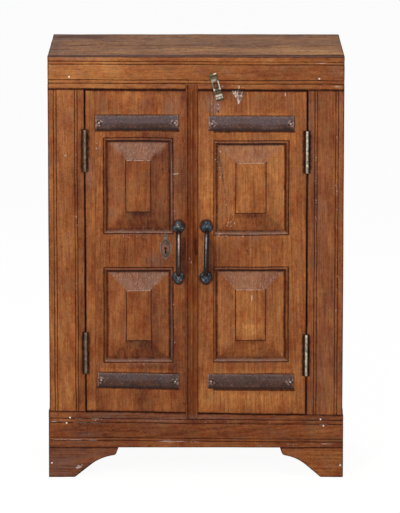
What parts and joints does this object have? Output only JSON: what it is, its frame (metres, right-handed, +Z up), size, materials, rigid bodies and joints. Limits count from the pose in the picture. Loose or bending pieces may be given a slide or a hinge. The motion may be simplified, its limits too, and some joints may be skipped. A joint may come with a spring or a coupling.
{
  "type": "cabinet",
  "caption": "Small wooden cupboard on bracket feet with carved swinging doors, iron straps, bow handles, an inner shelf, a rim lock and a hasp over the top rail.",
  "frame": {"origin": "on the ground, under the middle of the whole piece with its handles", "axes": "+X to the right as seen from the front, -Y out of the front, +Z up"},
  "size_m": [0.6, 0.383, 0.866],
  "materials": {
    "waxed_teak": "old teak, waxed to a warm shine, dark dirt in the grooves",
    "plain_teak": "plain sawn teak, dry and unwaxed",
    "strap_iron": "forged iron with a dark brown rust and wax skin",
    "handle_iron": "forged iron, blue black, rubbed bright on the bow",
    "lock_iron": "dull dark iron",
    "nail_iron": "worn iron wire and nail heads",
    "dark_bronze": "brass gone dark brown, worn at the edges",
    "tarnished_brass": "dull tarnished brass"
  },
  "bodies": {
    "carcass": {"back_boards": "plain_teak", "back_bottom_rail": "plain_teak", "back_top_rail": "plain_teak", "floor_board": "plain_teak", "floor_cleats": "plain_teak", "foot_blocks": "plain_teak", "frame_nails": "nail_iron", "front_bottom_rail": "waxed_teak", "front_foot_left": "waxed_teak", "front_foot_right": "waxed_teak", "front_stile_left": "waxed_teak", "front_stile_right": "waxed_teak", "front_top_rail": "waxed_teak", "hasp_staple": "nail_iron", "hinge_frame_leaves_left": "dark_bronze", "hinge_frame_leaves_right": "tarnished_brass", "hinge_pins": "dark_bronze", "shelf_board": "plain_teak", "shelf_cleats": "plain_teak", "side_bottom_rail_left": "waxed_teak", "side_bottom_rail_right": "waxed_teak", "side_feet_left": "waxed_teak", "side_feet_right": "waxed_teak", "side_front_stile_left": "waxed_teak", "side_front_stile_right": "waxed_teak", "side_panel_left": "waxed_teak", "side_panel_right": "waxed_teak", "side_rear_stile_left": "waxed_teak", "side_rear_stile_right": "waxed_teak", "side_top_rail_left": "waxed_teak", "side_top_rail_right": "waxed_teak", "top_board_front": "waxed_teak", "top_board_rear": "waxed_teak"},
    "left_door": {"left_door_wide_board": "waxed_teak", "left_door_narrow_board": "waxed_teak", "astragal": "waxed_teak", "left_strap_upper": "strap_iron", "left_strap_lower": "strap_iron", "left_strap_nails": "strap_iron", "left_handle": "handle_iron", "left_handle_screws": "handle_iron", "escutcheon": "dark_bronze", "escutcheon_pins": "dark_bronze", "lock_case": "lock_iron", "lock_screws": "lock_iron", "hinge_door_leaves_left": "dark_bronze"},
    "right_door": {"right_door_wide_board": "waxed_teak", "right_door_narrow_board": "waxed_teak", "right_strap_upper": "strap_iron", "right_strap_lower": "strap_iron", "right_strap_nails": "strap_iron", "right_handle": "handle_iron", "right_handle_screws": "handle_iron", "lock_keeper": "lock_iron", "hinge_door_leaves_right": "tarnished_brass", "hasp_leaf": "tarnished_brass", "hasp_pin": "tarnished_brass", "hasp_screws": "tarnished_brass"},
    "lock_bolt": {"lock_bolt": "lock_iron"},
    "hasp_strap": {"hasp_strap": "tarnished_brass"}
  },
  "joints": [
    {"name": "left_door_swing", "type": "hinge", "parent": "carcass", "child": "left_door", "pos_m": [-0.2237, -0.1595, 0.4663], "axis": [0, 0, -1], "range_deg": [0, 165]},
    {"name": "right_door_swing", "type": "hinge", "parent": "carcass", "child": "right_door", "pos_m": [0.2237, -0.1595, 0.4663], "axis": [0, 0, 1], "range_deg": [0, 165]},
    {"name": "hasp_fold", "type": "hinge", "parent": "right_door", "child": "hasp_strap", "pos_m": [0.044, -0.1619, 0.7938], "axis": [0.9613, 0, 0.2756], "range_deg": [0, 165]},
    {"name": "bolt_slide", "type": "slide", "parent": "left_door", "child": "lock_bolt", "axis": [1, 0, 0], "range_m": [0, 0.014]}
  ]
}
